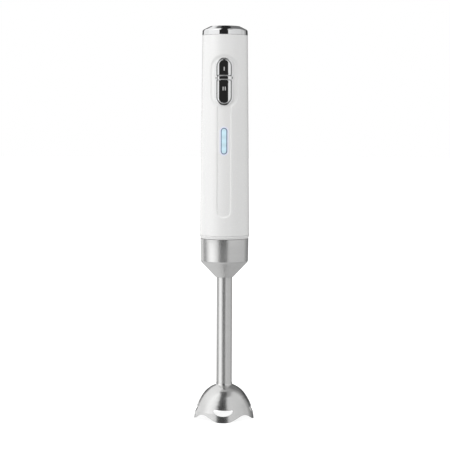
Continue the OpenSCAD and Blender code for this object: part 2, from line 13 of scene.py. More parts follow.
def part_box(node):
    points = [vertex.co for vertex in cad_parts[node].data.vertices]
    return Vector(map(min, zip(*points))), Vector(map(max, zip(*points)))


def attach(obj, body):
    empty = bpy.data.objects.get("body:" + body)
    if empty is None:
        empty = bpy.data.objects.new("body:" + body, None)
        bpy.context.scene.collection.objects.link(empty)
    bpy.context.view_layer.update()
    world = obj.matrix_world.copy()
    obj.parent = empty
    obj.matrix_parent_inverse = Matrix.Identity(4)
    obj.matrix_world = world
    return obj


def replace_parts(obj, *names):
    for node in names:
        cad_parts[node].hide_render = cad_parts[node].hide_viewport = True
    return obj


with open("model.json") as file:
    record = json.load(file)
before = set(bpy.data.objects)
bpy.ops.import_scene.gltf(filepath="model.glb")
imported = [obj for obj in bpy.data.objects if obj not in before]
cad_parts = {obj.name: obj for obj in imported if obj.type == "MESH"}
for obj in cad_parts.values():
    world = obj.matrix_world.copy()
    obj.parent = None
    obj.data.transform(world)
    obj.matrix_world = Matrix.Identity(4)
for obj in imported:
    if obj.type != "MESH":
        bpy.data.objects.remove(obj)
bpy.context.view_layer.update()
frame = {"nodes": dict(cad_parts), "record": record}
MM = 0.001
scene = bpy.context.scene


def low(node, axis=2):
    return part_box(node)[0][axis] / MM


def high(node, axis=2):
    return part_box(node)[1][axis] / MM


# ------------------------------------------------------------------ camera, floor and light

def camera():
    """A long lens at the height of the indicator, tilted down a little."""
    distance, height, azimuth, roll = 1440, 307, 1.9, 0.18
    aim = Vector((0.5, 0, 203.7))
    turn = math.radians(azimuth)
    eye = Vector((distance * math.sin(turn), -distance * math.cos(turn), height))
    data = bpy.data.cameras.new("camera")
    data.sensor_width = 36
    data.lens = 36 / (2 * math.tan(math.radians(18.54 / 2)))
    data.clip_start, data.clip_end = 0.05, 50
    cam = bpy.data.objects.new("camera", data)
    scene.collection.objects.link(cam)
    cam.location = eye * MM
    look = (aim - eye).to_track_quat("-Z", "Y")
    cam.rotation_euler = look.to_euler()
    cam.rotation_euler.rotate_axis("Z", math.radians(roll))
    scene.camera = cam


class Nodes:
    """Short ways to build a node tree."""

    def __init__(self, tree, clear=True):
        self.tree = tree
        if clear:
            tree.nodes.clear()

    def add(self, kind, **settings):
        node = self.tree.nodes.new("ShaderNode" + kind)
        for key, value in settings.items():
            setattr(node, key, value)
        return node

    def link(self, source, target):
        if isinstance(source, (int, float)):
            target.default_value = source
        else:
            self.tree.links.new(source, target)

    def math(self, operation, a, b=0.0, c=0.0):
        node = self.add("Math", operation=operation)
        for socket, value in zip(node.inputs, (a, b, c)):
            self.link(value, socket)
        return node.outputs[0]

    def times(self, a, b):
        return self.math("MULTIPLY", a, b)

    def scaled(self, value, factor, offset):
        return self.math("MULTIPLY_ADD", value, factor, offset)

    def invert(self, value):
        return self.math("SUBTRACT", 1.0, value)

    def mix(self, share, a, b):
        return self.math("ADD", self.times(a, self.invert(share)), self.times(b, share))

    def step(self, value, start, end):
        """0 before start, 1 after end, smooth between."""
        node = self.add("MapRange", interpolation_type="SMOOTHSTEP")
        self.link(value, node.inputs["Value"])
        node.inputs["From Min"].default_value = start
        node.inputs["From Max"].default_value = end
        return node.outputs["Result"]

    def fade(self, value, start, end):
        """1 before start, 0 after end, smooth between."""
        return self.invert(self.step(value, start, end))

    def ramp(self, value, stops):
        """Grey level along value, from (position, level) stops."""
        node = self.add("ValToRGB")
        self.link(value, node.inputs[0])
        points = node.color_ramp.elements
        while len(points) < len(stops):
            points.new(0.5)
        for point, (position, level) in zip(points, stops):
            point.position = position
            point.color = (level, level, level, 1)
        return node.outputs[0]

    def mix_color(self, share, a, b):
        node = self.add("Mix", data_type="RGBA")
        self.link(share, node.inputs["Factor"])
        node.inputs["A"].default_value = (*a, 1)
        node.inputs["B"].default_value = (*b, 1)
        return node.outputs["Result"]


# Grey levels across the studio, from 0 at the left to 1 at the right, below, at and above the horizon
FRONT_BELOW = [(0.0, 0.85), (0.02, 1.4), (0.09, 1.32), (0.18, 1.05), (0.27, 0.92), (0.5, 0.9), (0.66, 0.78),
               (0.8, 0.64), (1.0, 0.6)]
FRONT_LEVEL = [(0.0, 0.92), (0.3, 0.88), (0.6, 0.82), (0.8, 0.72), (1.0, 0.66)]
FRONT_ABOVE = [(0.0, 1.0), (0.02, 1.15), (0.09, 1.08), (0.18, 0.95), (0.3, 0.88), (0.6, 0.8), (1.0, 0.66)]
REAR_BELOW = [(0.0, 0.55), (0.012, 0.2), (0.04, 0.15), (0.08, 0.85), (0.5, 0.85), (0.52, 0.15), (0.8, 0.2),
              (0.93, 0.35), (0.955, 0.62), (1.0, 0.58)]
REAR_LEVEL = [(0.0, 0.85), (0.5, 0.85), (0.52, 0.15), (0.8, 0.2), (0.93, 0.4), (0.955, 0.62), (1.0, 0.58)]
REAR_ABOVE = [(0.0, 0.95), (0.5, 0.85), (0.52, 0.15), (0.8, 0.2), (0.93, 0.4), (0.955, 0.68), (1.0, 0.68)]
GROUND = [(0.0, 0.6), (0.25, 0.74), (0.36, 0.7), (0.5, 0.45), (0.65, 0.52), (1.0, 0.45)]
HORIZON_GREY, LID_GREY, BESIDE_GREY = 0.03, 0.17, 0.36
DIFFUSE_LIFT = 0.235


def walls(n, x, z, rear):
    """Level of the studio's walls in a direction; rear is 1 behind the object."""
    flat = n.math("MAXIMUM", n.scaled(n.times(z, z), -1.0, 1.0), 0.0004)
    across = n.scaled(n.math("DIVIDE", x, n.math("SQRT", flat)), 0.5, 0.5)
    front = n.mix(n.step(z, -0.05, 0.02), n.ramp(across, FRONT_BELOW), n.ramp(across, FRONT_LEVEL))
    front = n.mix(n.step(z, 0.2, 0.3), front, n.ramp(across, FRONT_ABOVE))
    back = n.mix(n.step(z, -0.03, 0.03), n.ramp(across, REAR_BELOW), n.ramp(across, REAR_LEVEL))
    back = n.mix(n.step(z, 0.3, 0.55), back, n.ramp(across, REAR_ABOVE))
    return n.mix(rear, front, back)


def dark_patches(n, x, y, z, level):
    """Darkens what outlines the object from behind, the cap's slope, and a patch right of the strip."""
    outline = n.math("ADD", n.step(z, 0.0, 0.06), n.fade(z, -0.2, -0.12))
    outline = n.times(outline, n.fade(z, 0.36, 0.48))
    level = n.mix(n.times(n.step(y, 0.68, 0.8), outline), level, HORIZON_GREY)
    lid = n.times(n.step(y, 0.55, 0.65), n.step(z, 0.25, 0.35))
    level = n.mix(n.times(n.step(x, -0.2, -0.15), lid), level, LID_GREY)
    beside = n.times(n.step(z, 0.8, 0.9), n.fade(x, 0.38, 0.5))
    return n.mix(n.times(beside, n.step(x, 0.0, 0.1)), level, BESIDE_GREY)


def dark_strip(n, x, y, z, rear, level):
    """Puts in a dark strip from the front up over the object, which narrows as it goes back."""
    far = n.step(y, 0.0, 0.25)
    left_edge = n.mix(far, n.scaled(n.step(z, 0.45, 1.0), -0.23, 0.45), 0.1)
    right_edge = n.mix(far, n.scaled(n.step(z, 0.1, 0.8), -0.11, 0.3), 0.08)
    strip = n.times(n.step(n.math("ADD", x, left_edge), -0.02, 0.02),
                    n.fade(n.math("SUBTRACT", x, right_edge), -0.02, 0.02))
    zone = n.math("MAXIMUM", n.invert(rear), n.step(z, 0.6, 0.7))
    grey = n.scaled(n.step(z, -0.1, 0.02), -0.1, 0.12)
    return n.mix(n.times(strip, zone), level, grey)


def studio_light():
    """A brighter wide light on the left, a softer one on the right, a dark strip between them overhead."""
    world = bpy.data.worlds.new("studio")
    scene.world = world
    world.use_nodes = True
    n = Nodes(world.node_tree)
    split = n.add("SeparateXYZ")
    n.link(n.add("TexCoord").outputs["Generated"], split.inputs[0])
    x, y, z = split.outputs
    rear = n.step(y, -0.05, 0.05)
    level = dark_patches(n, x, y, z, walls(n, x, z, rear))
    level = dark_strip(n, x, y, z, rear, level)
    ground = n.ramp(n.scaled(x, 0.5, 0.5), GROUND)
    level = n.mix(n.step(z, -0.3, -0.22), ground, level)
    path = n.add("LightPath")
    level = n.mix(path.outputs["Is Diffuse Ray"], level, n.math("ADD", level, DIFFUSE_LIFT))
    level = n.mix(path.outputs["Is Camera Ray"], level, 1.0)
    background = n.add("Background")
    n.link(level, background.inputs["Color"])
    background.inputs["Strength"].default_value = 1.0
    n.link(background.outputs[0], n.add("OutputWorld").inputs["Surface"])
    area_light("top_light", 2.4, 30, (0, -0.3, 2.2))
    area_light("left_light", 1.0, 9, (-1.9, -1.1, 0.7))


def area_light(name, size, power, place):
    """A soft round lamp aimed at the handle, which shows in no reflection."""
    lamp = bpy.data.objects.new(name, bpy.data.lights.new(name, "AREA"))
    lamp.data.shape = "DISK"
    lamp.data.size = size
    lamp.data.energy = power
    lamp.location = place
    aim = Vector((0, 0, 0.25)) - lamp.location
    lamp.rotation_euler = aim.to_track_quat("-Z", "Y").to_euler()
    lamp.visible_glossy = False
    scene.collection.objects.link(lamp)


def floor():
    """A wide pale floor, bright enough by itself to merge with the background."""
    reach = 12
    mesh = bpy.data.meshes.new("floor")
    corners = [(-reach, -reach, 0), (reach, -reach, 0), (reach, reach, 0), (-reach, reach, 0)]
    mesh.from_pydata(corners, [], [(0, 1, 2, 3)])
    plane = bpy.data.objects.new("floor", mesh)
    scene.collection.objects.link(plane)
    mat = bpy.data.materials.new("floor")
    mat.use_nodes = True
    shader = mat.node_tree.nodes["Principled BSDF"]
    shader.inputs["Base Color"].default_value = (0.4, 0.4, 0.4, 1)
    shader.inputs["Roughness"].default_value = 0.9
    shader.inputs["Emission Color"].default_value = (1, 1, 1, 1)
    shader.inputs["Emission Strength"].default_value = 0.85
    mesh.materials.append(mat)
    plane.visible_glossy = False
    plane.visible_diffuse = False


camera()
floor()
studio_light()
scene.view_settings.view_transform = "Standard"


# ------------------------------------------------------------------ materials

def grain(n, scale, stretch=(1, 1, 1), detail=3):
    """Noise in the object's own space, stretched along its axes."""
    place = n.add("TexCoord").outputs["Object"]
    mapping = n.add("Mapping")
    mapping.inputs["Scale"].default_value = stretch
    n.link(place, mapping.inputs["Vector"])
    noise = n.add("TexNoise")
    noise.inputs["Scale"].default_value = scale
    noise.inputs["Detail"].default_value = detail
    n.link(mapping.outputs[0], noise.inputs["Vector"])
    return noise.outputs["Fac"]


def spread(n, value, low_end, high_end):
    """A noise value, which lies round 0.5, spread from low_end to high_end."""
    node = n.add("MapRange")
    n.link(value, node.inputs["Value"])
    node.inputs["From Min"].default_value = 0.3
    node.inputs["From Max"].default_value = 0.7
    node.inputs["To Min"].default_value = low_end
    node.inputs["To Max"].default_value = high_end
    return node.outputs["Result"]


def surface(name, color, rough, metal=0.0, vary=0.03, scale=400, stretch=(1, 1, 1), bump=0.02, **constants):
    """A principled material whose colour, roughness and relief vary with a fine grain."""
    mat = bpy.data.materials.new(name)
    mat.use_nodes = True
    n = Nodes(mat.node_tree)
    shader = n.add("BsdfPrincipled")
    shader.inputs["Metallic"].default_value = metal
    for key, value in constants.items():
        shader.inputs[key.replace("_", " ")].default_value = value
    fine = grain(n, scale, stretch)
    broad = grain(n, scale / 25, stretch, 2)
    dark = [c * (1 - vary) for c in color]
    light = [min(1, c * (1 + vary)) for c in color]
    n.link(n.mix_color(spread(n, broad, 0, 1), dark, light), shader.inputs["Base Color"])
    n.link(spread(n, fine, rough * 0.85, rough * 1.15), shader.inputs["Roughness"])
    relief = n.add("Bump")
    relief.inputs["Strength"].default_value = bump
    relief.inputs["Distance"].default_value = 0.0002
    n.link(fine, relief.inputs["Height"])
    n.link(relief.outputs[0], shader.inputs["Normal"])
    n.link(shader.outputs[0], n.add("OutputMaterial").inputs["Surface"])
    return mat


def open_tree(mat):
    """The material's node tree, ready for more nodes, and its shader."""
    n = Nodes(mat.node_tree, clear=False)
    return n, next(node for node in n.tree.nodes if node.type == "BSDF_PRINCIPLED")


def brushed(name, color, rough, metal=0.84):
    """Steel brushed round the drive axis: fine rings that blur reflections along Z."""
    mat = surface(name, color, rough, metal=metal, vary=0.02, scale=40, stretch=(1, 1, 60), bump=0.05,
                  Anisotropic=0.93)
    n, shader = open_tree(mat)
    tangent = n.add("Tangent", direction_type="RADIAL", axis="Z")
    n.link(tangent.outputs[0], shader.inputs["Tangent"])
    return mat


def white_plastic(name):
    return surface(name, (0.80, 0.80, 0.795), 0.25, vary=0.006, scale=900, bump=0.03)


MATERIALS = {
    "white_plastic": white_plastic("white_plastic"),
    "chrome_plating": surface("chrome_plating", (0.93, 0.935, 0.94), 0.05, metal=1.0, vary=0.01, scale=300,
                              bump=0.004),
    "brushed_steel": brushed("brushed_steel", (0.74, 0.74, 0.735), 0.19),
    "blade_steel": brushed("blade_steel", (0.72, 0.73, 0.74), 0.28),
    "zinc_steel": surface("zinc_steel", (0.6, 0.61, 0.62), 0.3, metal=1.0, scale=700),
    "grey_nylon": surface("grey_nylon", (0.16, 0.165, 0.17), 0.5, scale=1500, bump=0.12),
    "light_nylon": surface("light_nylon", (0.55, 0.555, 0.555), 0.45, scale=1500, bump=0.1),
    "ivory_acetal": surface("ivory_acetal", (0.8, 0.77, 0.68), 0.4, scale=1200),
    "black_plastic": surface("black_plastic", (0.02, 0.02, 0.022), 0.38, scale=1500, bump=0.1),
    "black_rubber": surface("black_rubber", (0.018, 0.018, 0.019), 0.7, scale=2500, bump=0.25),
    "grey_silicone": surface("grey_silicone", (0.28, 0.29, 0.3), 0.6, scale=2000, bump=0.1),
    "led_package": surface("led_package", (0.5, 0.8, 0.95), 0.25, Emission_Color=(0.35, 0.75, 1, 1),
                           Emission_Strength=1.5),
    "board_green": surface("board_green", (0.02, 0.11, 0.05), 0.35, scale=900),
    "cell_wrap": surface("cell_wrap", (0.03, 0.24, 0.3), 0.3, scale=600),
    "nickel_strap": surface("nickel_strap", (0.72, 0.7, 0.66), 0.3, metal=1.0),
    "motor_steel": surface("motor_steel", (0.55, 0.55, 0.55), 0.35, metal=1.0, stretch=(1, 1, 20)),
    "ferrite": surface("ferrite", (0.05, 0.05, 0.055), 0.7, bump=0.2),
    "copper_enamel": surface("copper_enamel", (0.62, 0.22, 0.07), 0.3, metal=1.0, scale=90,
                             stretch=(1, 1, 30), bump=0.3),
    "bronze": surface("bronze", (0.6, 0.42, 0.2), 0.45, metal=1.0, scale=1200, bump=0.15),
    "carbon": surface("carbon", (0.03, 0.03, 0.032), 0.6),
    "red_sleeve": surface("red_sleeve", (0.5, 0.02, 0.02), 0.45),
    "black_sleeve": surface("black_sleeve", (0.015, 0.015, 0.015), 0.45),
    # Painted glow: this acrylic gives off light of its own, for the lamps' light shining through it.
    "lens_acrylic": surface("lens_acrylic", (0.6, 0.85, 0.95), 0.2, Emission_Color=(0.6, 0.87, 1, 1),
                            Emission_Strength=0.55),
}

SLOT_OF = {part["node"]: part["material_slot"] for part in frame["record"]["subparts"]}


def dress(piece, material):
    piece.data.materials.clear()
    piece.data.materials.append(material)


for cad_node, cad_slot in SLOT_OF.items():
    dress(frame["nodes"][cad_node], MATERIALS[cad_slot])
dress(frame["nodes"]["blade_guard"], brushed("bell_steel", (0.79, 0.79, 0.785), 0.15, metal=0.95))


# ------------------------------------------------------------------ mesh helpers

SHARP = 38  # degrees between faces above which an edge stays sharp
MERGE, SLIVER = 0.002, 0.001


def mesh_object(name, verts, faces):
    mesh = bpy.data.meshes.new(name)
    mesh.from_pydata([(x * MM, y * MM, z * MM) for x, y, z in verts], [], faces)
    made = bpy.data.objects.new(name, mesh)
    scene.collection.objects.link(made)
    return made


def build(name, verts, faces, body, stands_for, material=None, angle=SHARP):
    """A smooth mesh piece that rides its body, in the material slot of the CAD node it stands for."""
    piece = mesh_object(name, verts, faces)
    finish_mesh(piece.data, angle)
    slot = SLOT_OF[stands_for]
    piece.data.materials.append(material or MATERIALS[slot])
    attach(piece, body)
    return piece


def finish_mesh(mesh, angle):
    work = bmesh.new()
    work.from_mesh(mesh)
    bmesh.ops.remove_doubles(work, verts=work.verts, dist=MERGE * MM)
    bmesh.ops.dissolve_degenerate(work, edges=work.edges, dist=SLIVER * MM)
    bmesh.ops.recalc_face_normals(work, faces=work.faces)
    for edge in work.edges:
        edge.smooth = edge.calc_face_angle(0) < math.radians(angle)
    for face in work.faces:
        face.smooth = True
    work.to_mesh(mesh)
    work.free()


def cut(piece, solid, angle=SHARP):
    """Takes a closed solid, given by its vertices and faces, out of a piece."""
    tool = mesh_object("cutter", *solid)
    work = bmesh.new()
    work.from_mesh(tool.data)
    bmesh.ops.recalc_face_normals(work, faces=work.faces)
    work.to_mesh(tool.data)
    work.free()
    change = piece.modifiers.new("cut", "BOOLEAN")
    change.operation = "DIFFERENCE"
    change.solver = "EXACT"
    change.object = tool
    shaped = bpy.data.meshes.new_from_object(piece.evaluated_get(bpy.context.evaluated_depsgraph_get()))
    piece.modifiers.clear()
    piece.data = shaped
    bpy.data.objects.remove(tool)
    finish_mesh(shaped, angle)


def circle(u, v, radius, count):
    turns = [2 * math.pi * k / count for k in range(count)]
    return [(u + radius * math.cos(turn), v + radius * math.sin(turn)) for turn in turns]


def prism(outline, start, end, upright=False):
    """A solid along Y from an outline in X and Z, or upright along Z from one in X and Y."""
    n = len(outline)
    verts = [(u, v, level) if upright else (u, level, v) for level in (start, end) for u, v in outline]
    faces = [(i, (i + 1) % n, n + (i + 1) % n, n + i) for i in range(n)]
    return verts, faces + [tuple(range(n)), tuple(range(2 * n - 1, n - 1, -1))]


def block_faces(wide, tall):
    """Faces of a block whose front and back are grids of wide x tall points, one after the other."""
    size = wide * tall
    faces = [(a, a + 1, a + wide + 1, a + wide)
             for layer in (0, size) for j in range(tall - 1)
             for a in range(layer + j * wide, layer + j * wide + wide - 1)]
    last = size - wide
    border = ([(i, i + 1) for i in range(wide - 1)]
              + [(last + i, last + i + 1) for i in range(wide - 1)]
              + [(j * wide, (j + 1) * wide) for j in range(tall - 1)]
              + [(j * wide + wide - 1, (j + 1) * wide + wide - 1) for j in range(tall - 1)])
    return faces + [(a, b, b + size, a + size) for a, b in border]


def rounded(points, arc=6):
    """An outline with arcs at its corners, from (x, y) or (x, y, radius) points; closed."""
    out = []
    n = len(points)
    for i, point in enumerate(points):
        here = Vector(point[:2])
        radius = point[2] if len(point) > 2 else 0
        before = Vector(points[i - 1][:2]) - here
        after = Vector(points[(i + 1) % n][:2]) - here
        if not radius:
            out.append(tuple(here))
            continue
        half = before.angle(after) / 2
        reach = min(radius / math.tan(half), 0.49 * before.length, 0.49 * after.length)
        radius = reach * math.tan(half)
        middle = (before.normalized() + after.normalized()).normalized() * (radius / math.sin(half))
        a = before.normalized() * reach - middle
        b = after.normalized() * reach - middle
        sweep = math.atan2(a.x * b.y - a.y * b.x, a.dot(b))
        for k in range(arc + 1):
            turn = Vector(a)
            turn.rotate(Matrix.Rotation(sweep * k / arc, 2))
            out.append(tuple(here + middle + turn))
    return out


def lathe(name, outline, body, stands_for, sides=192, angle=30):
    """Turns a closed outline of (radius, z, corner radius) points round the drive axis, for one CAD node."""
    loop = rounded(outline)
    verts, faces = [], []
    n = len(loop)
    for k in range(sides):
        a = 2 * math.pi * k / sides
        verts += [(r * math.cos(a), r * math.sin(a), z) for r, z in loop]
    for k in range(sides):
        a, b = k * n, (k + 1) % sides * n
        faces += [(a + i, b + i, b + (i + 1) % n, a + (i + 1) % n) for i in range(n)]
    piece = build(name, verts, faces, body, stands_for, angle=angle)
    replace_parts(piece, stands_for)
    return piece


def steps(start, end, size):
    count = max(1, round(abs(end - start) / size))
    return [start + (end - start) * i / count for i in range(count)]


def rise(value, start, end):
    """0 at start, 1 at end, smooth between."""
    t = min(1, max(0, (value - start) / (end - start)))
    return t * t * (3 - 2 * t)


def track_distance(x, z, width, height, middle):
    """Distance from a racetrack outline; negative inside it."""
    along = max(abs(z - middle) - (height - width) / 2, 0)
    return math.hypot(x, along) - width / 2


def block_distance(x, z, width, height, middle, corner):
    """Distance from a rectangle's outline with round corners; negative inside it."""
    over_x = abs(x) - width / 2 + corner
    over_z = abs(z - middle) - height / 2 + corner
    return math.hypot(max(over_x, 0), max(over_z, 0)) + min(max(over_x, over_z), 0) - corner


def track_outline(width, height, middle, inset=0.0, arc=24, sides=1):
    """Points round a racetrack that is moved inwards by inset."""
    radius, reach = width / 2 - inset, (height - width) / 2
    out = []
    for turn, centre in ((0, middle + reach), (math.pi, middle - reach)):
        angles = [turn + math.pi * k / arc for k in range(arc + 1)]
        out += [(radius * math.cos(a), centre + radius * math.sin(a)) for a in angles]
        x = -radius if turn == 0 else radius
        other = middle - reach if turn == 0 else middle + reach
        out += [(x, centre + (other - centre) * k / sides) for k in range(1, sides)]
    return out


# ------------------------------------------------------------------ housing

Z0, Z1 = low("front_housing"), high("front_housing")
R_BASE, R_TOP = high("rear_housing", 0), high("top_cap", 0)
WALL = 2.2
BEZEL_Z = (low("button_bezel") + high("button_bezel")) / 2
BEZEL_W = high("button_bezel", 0) - low("button_bezel", 0)
BEZEL_H = high("button_bezel") - low("button_bezel")
DISH_W, DISH_H, DISH_DEPTH = 29.8, 56, 0.9
CHANNEL_W, CHANNEL_DEPTH, CHANNEL_END = 15.8, 0.8, 212
LENS_W, LENS_H, LENS_Z = 6.4, 27, (low("indicator_lens") + high("indicator_lens")) / 2
SKIRT_W, SKIRT_H = BEZEL_W - 1.8, BEZEL_H - 1.8
JACK_Z = (low("charge_jack") + high("charge_jack")) / 2
JACK_R = 4.05  # of the hole round the charging jack
PAD_W, PAD_H, PAD_Z = 13, 10.4, 200
FIXED = 17  # columns nearer the middle than this run straight up
OUTER = 10  # columns beyond them, which fan out to the parting line
PARTING = 0.04  # half the gap between the shells
BOTTOM_ROUND, TOP_ROUND, SEAM_ROUND = 0.5, 0.35, 0.3


def handle_r(z):
    return R_BASE + (R_TOP - R_BASE) * (z - Z0) / (Z1 - Z0)


def on_cone(x, z, depth, side):
    """A point of the handle's surface moved inwards by depth; side is -1 in front and 1 behind."""
    radius = handle_r(z) - depth
    return x, side * math.sqrt(max(radius * radius - x * x, PARTING ** 2)), z


def column_x(column, radius):
    if abs(column) <= FIXED:
        return column
    start = math.asin(FIXED / radius)
    turn = start + (math.pi / 2 - start) * (abs(column) - FIXED) / OUTER
    return math.copysign(radius * math.sin(turn), column)


def edge_round(distance, radius):
    """How far a rounded edge falls below its face at a distance from the side."""
    over = radius - min(max(distance, 0), radius)
    return radius - math.sqrt(radius * radius - over * over)


def shell(name, side, columns, rows, depth, node):
    """One half of the handle, with its relief in depth(x, z) and rounded edges all round."""
    outer, inner = [], []
    for z in rows:
        radius = handle_r(z)
        for column in columns:
            x = column_x(column, radius)
            fall = edge_round(z - Z0, BOTTOM_ROUND) + edge_round(Z1 - z, TOP_ROUND)
            seam = (math.pi / 2 - math.asin(min(1, abs(x) / radius))) * radius
            sunk = max(depth(x, z), fall, edge_round(seam, SEAM_ROUND))
            drawn_in = x * (radius - sunk) / radius if abs(column) > FIXED else x
            outer.append(on_cone(drawn_in, z, sunk, side))
            inner.append(on_cone(x * (radius - WALL) / radius, z, WALL, side))
    return build(name, outer + inner, block_faces(len(columns), len(rows)), "handle", node)


def mirrored(values):
    return sorted({-v for v in values} | set(values))


def end_rows(values):
    """Rows crowded into the rounded ends of a shell."""
    near = [0, 0.05, 0.12, 0.22, 0.36, 0.5]
    rows = [Z0 + n for n in near] + [Z1 - n for n in near] + values
    return sorted({round(z, 4) for z in rows if Z0 <= z <= Z1})


# Columns crowded into the rounded edge at the parting line
SEAM = [OUTER + FIXED - t for t in (0, 0.03, 0.08, 0.15, 0.25)]


def front_relief(x, z):
    dish = DISH_DEPTH * rise(-track_distance(x, z, DISH_W, DISH_H, BEZEL_Z), -0.2, 2.6)
    top = BEZEL_Z - DISH_H / 2 + CHANNEL_W
    inside = -track_distance(x, z, CHANNEL_W, top - CHANNEL_END, (top + CHANNEL_END) / 2)
    return max(dish, CHANNEL_DEPTH * rise(inside, -0.1, 1.9))


def front_shell():
    columns = mirrored(steps(0, 5, 0.5) + steps(5, 8.4, 0.22) + steps(8.4, 17, 0.5)
                       + steps(17, 26.7, 0.7) + SEAM)
    rows = end_rows(steps(Z0 + 1, 211, 1.5) + steps(211, 220.5, 0.4) + steps(220.5, 322, 2.5)
                    + steps(322, 384, 0.5) + steps(384, Z1 - 0.6, 1.5))
    piece = shell("front_shell", -1, columns, rows, front_relief, "front_housing")
    # Its plastic carries a painted glow round the lens.
    dress(piece, PAINTED_GLOW_PLASTIC)
    cut(piece, prism(track_outline(SKIRT_W + 0.2, SKIRT_H + 0.2, BEZEL_Z), -30, -10))
    cut(piece, prism(track_outline(LENS_W + 0.2, LENS_H + 0.2, LENS_Z), -30, -10))
    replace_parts(piece, "front_housing")


def rear_relief(x, z):
    pad = 0.35 * (1 - rise(block_distance(x, z, PAD_W + 0.6, PAD_H + 0.6, PAD_Z, 1), 0, 0.7))
    jack = 0.45 * (1 - rise(math.hypot(x, z - JACK_Z) - JACK_R, 0, 1.0))
    return max(pad, jack)


def rear_shell():
    columns = mirrored(steps(0, 3, 0.4) + steps(3, 8.6, 0.28) + steps(8.6, 17, 1.2)
                       + steps(17, 26.7, 0.7) + SEAM)
    rows = end_rows(steps(Z0 + 0.6, 208, 0.3) + steps(208, 376, 6) + steps(376, 390, 0.35)
                    + steps(390, Z1 - 0.6, 1.5))
    piece = shell("rear_shell", 1, columns, rows, rear_relief, "rear_housing")
    opening = [(sx * (PAD_W / 2 + 0.3), PAD_Z + sz * (PAD_H / 2 + 0.3), 0.9)
               for sx, sz in ((-1, -1), (1, -1), (1, 1), (-1, 1))]
    cut(piece, prism(rounded(opening), 10, 32))
    cut(piece, prism(circle(0, JACK_Z, JACK_R, 48), 10, 32))
    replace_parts(piece, "rear_housing")


def cap():
    """The chrome cap, hollow below, with the gasket's groove in its skirt."""
    top, seam = high("top_cap"), Z1 + 0.15
    r, skirt = R_TOP, R_TOP - WALL - 0.2
    lathe("cap", [
        (0.02, top), (15.4, top, 0.8), (16.3, top - 0.5, 1.2), (r - 0.95, top - 3.6, 1.6),
        (r - 0.2, top - 4.8, 1.2), (r, seam, 0.25), (skirt, seam), (skirt, Z1 - 2.6),
        (skirt - 0.9, Z1 - 2.6), (skirt - 0.9, Z1 - 4.4), (skirt, Z1 - 4.4), (skirt, Z1 - 7, 0.4),
        (skirt - 1.7, Z1 - 7, 0.3), (skirt - 1.7, Z1 + 1.6), (14.6, top - 3), (0.02, top - 2.2),
    ], "handle", "top_cap")


def base_ring():
    """The white ring under the shells, with its stepped lower edge and three screw holes."""
    bottom, top = low("bottom_ring"), high("bottom_ring")
    piece = lathe("base_ring", [
        (17.4, bottom, 0.2), (25.15, bottom, 0.5), (25.2, bottom + 1.75, 0.3),
        (R_BASE, bottom + 2.05, 0.5), (R_BASE, top, 0.35), (17.4, top),
    ], "handle", "bottom_ring")
    for k in range(3):
        turn = math.radians(30 + 120 * k)
        x, y = 20.9 * math.cos(turn), 20.9 * math.sin(turn)
        cut(piece, prism(circle(x, y, 1.3, 32), bottom - 1, top + 1, upright=True), 30)
        cut(piece, prism(circle(x, y, 2.3, 32), bottom - 1, bottom + 1.9, upright=True), 30)


# ------------------------------------------------------------------ controls

BACK_Y = low("speed_1_boot", 1) - 1.35
WINDOW_W, WINDOW_H = BEZEL_W - 4.6, SKIRT_H - 1.5
BAR_0, BAR_1 = BEZEL_Z + 1.8, BEZEL_Z + 5.8
CORNER = 1.7  # of the windows where they meet the bar
BEZEL_PROUD, KEY_PROUD, MARK_PROUD = 0.1, 0.5, 0.55


def ring_piece(name, rings, body, stands_for, closed=False, material=None):
    """Joins rings of equally many points; without closed, the first and last rings collapse onto lines."""
    n = len(rings[0])
    faces = []
    for k in range(len(rings) if closed else len(rings) - 1):
        a, b = k * n, (k + 1) % len(rings) * n
        faces += [(a + i, a + (i + 1) % n, b + (i + 1) % n, b + i) for i in range(n)]
    return build(name, [point for ring in rings for point in ring], faces, body, stands_for, material)


def waist(z):
    """How far the bezel's outline draws in beside the bar."""
    return 1.7 * math.exp(-((z - (BAR_0 + BAR_1) / 2) / 1.5) ** 2)


def bezel_point(x, z, depth):
    """A point of the bezel at a depth under the handle's surface; without one, on its flat back."""
    return (x, BACK_Y, z) if depth is None else on_cone(x, z, depth, -1)


def bezel_frame():
    """The chrome frame round both buttons."""
    wide = (BEZEL_W - WINDOW_W) / 2
    under = DISH_DEPTH - 0.05
    section = [(0.0, under), (0.0, 0.3), (0.03, 0.14), (0.1, 0.0), (0.21, -0.07), (0.35, -BEZEL_PROUD),
               (0.8, -BEZEL_PROUD), (wide - 0.85, -BEZEL_PROUD), (wide - 0.5, -0.05), (wide - 0.25, 0.06),
               (wide - 0.08, 0.24), (wide, 0.5), (wide, None), (0.9, None), (0.9, under)]
    rings = []
    for inset, depth in section:
        share = 1 - min(1, inset / wide)
        height = BEZEL_H - (BEZEL_H - WINDOW_H) * inset / wide
        ring = []
        for x, z in track_outline(BEZEL_W - 2 * inset, height, BEZEL_Z, arc=40, sides=60):
            x -= math.copysign(waist(z) * share, x)
            meets_bar = depth is not None and inset > wide / 2 and BAR_0 - 0.2 < z < BAR_1 + 0.2
            ring.append(bezel_point(x, z, -BEZEL_PROUD if meets_bar else depth))
        rings.append(ring)
    piece = ring_piece("bezel_frame", rings, "handle", "button_bezel", closed=True)
    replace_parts(piece, "button_bezel")


